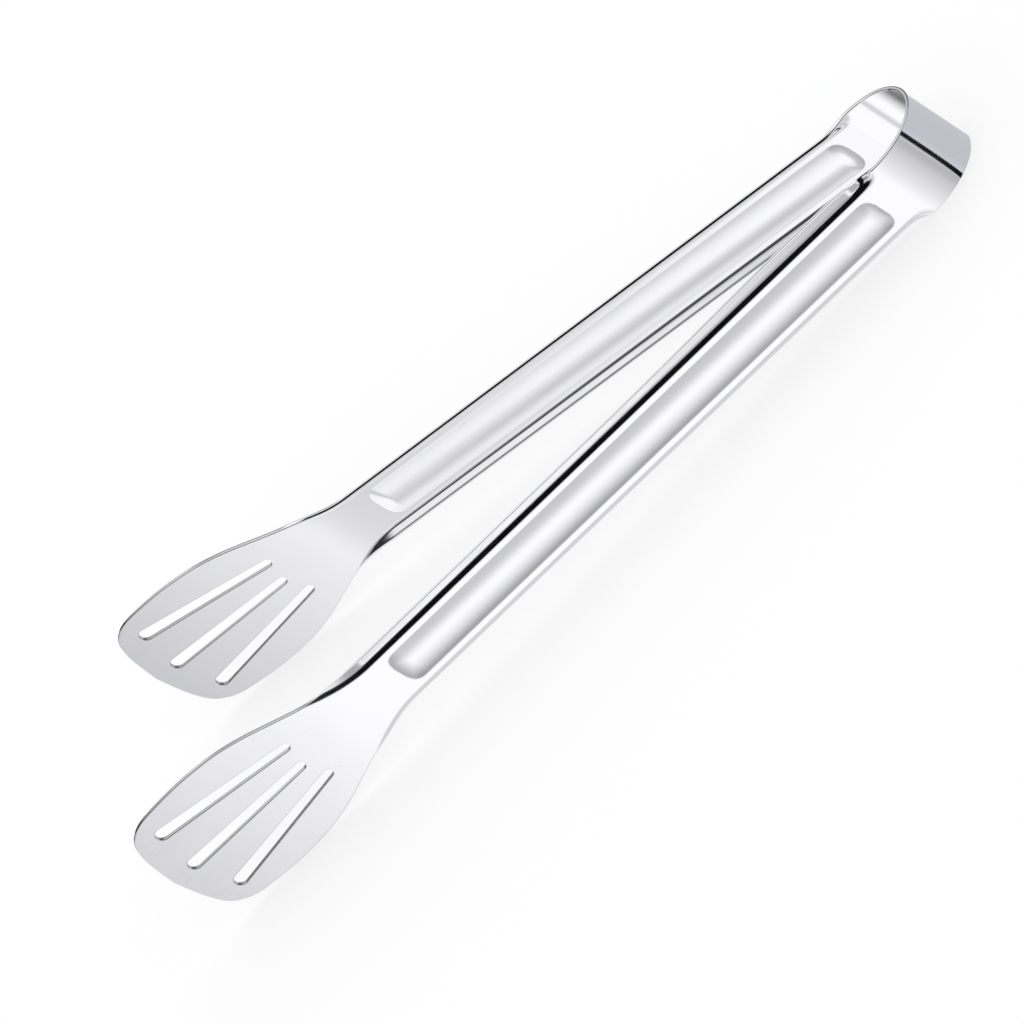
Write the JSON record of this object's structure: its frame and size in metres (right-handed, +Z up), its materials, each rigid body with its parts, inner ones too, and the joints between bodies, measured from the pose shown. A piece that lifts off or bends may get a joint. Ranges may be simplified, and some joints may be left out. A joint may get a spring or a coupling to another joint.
{
  "type": "serving tongs",
  "caption": "Sprung serving tongs folded from a steel strip, with channel handles, long pressed grooves and slotted spatula blades, lying on their side.",
  "frame": {"origin": "under the middle of the bounding box, on the surface the tongs lie on", "axes": "+X from the blade tips toward the bow, +Y across the opening from the lower arm to the upper arm, +Z up from the table, across the width of the strip"},
  "size_m": [0.3012, 0.079, 0.0451],
  "materials": {
    "polished_steel": "mirror-polished stainless sheet",
    "satin_steel": "fine satin stainless sheet"
  },
  "bodies": {
    "bow": {"bow_crown": "polished_steel"},
    "upper_arm": {"bow_shoulder_upper": "polished_steel", "handle_upper": "polished_steel", "blade_upper": "satin_steel"},
    "lower_arm": {"bow_shoulder_lower": "polished_steel", "handle_lower": "polished_steel", "blade_lower": "satin_steel"}
  },
  "joints": [
    {"name": "upper_arm_squeeze", "type": "hinge", "parent": "bow", "child": "upper_arm", "pos_m": [0.14337, 0.01015, 0.01167], "axis": [0.0407, 0, 0.9992], "range_deg": [0, 7.4], "stiffness_Nm_per_rad": 38},
    {"name": "lower_arm_squeeze", "type": "hinge", "parent": "bow", "child": "lower_arm", "pos_m": [0.14337, -0.01015, 0.01167], "axis": [-0.0407, 0, -0.9992], "range_deg": [0, 7.4]}
  ],
  "couplings": [
    {"joint": "lower_arm_squeeze", "follows": "upper_arm_squeeze", "ratio": 1}
  ]
}
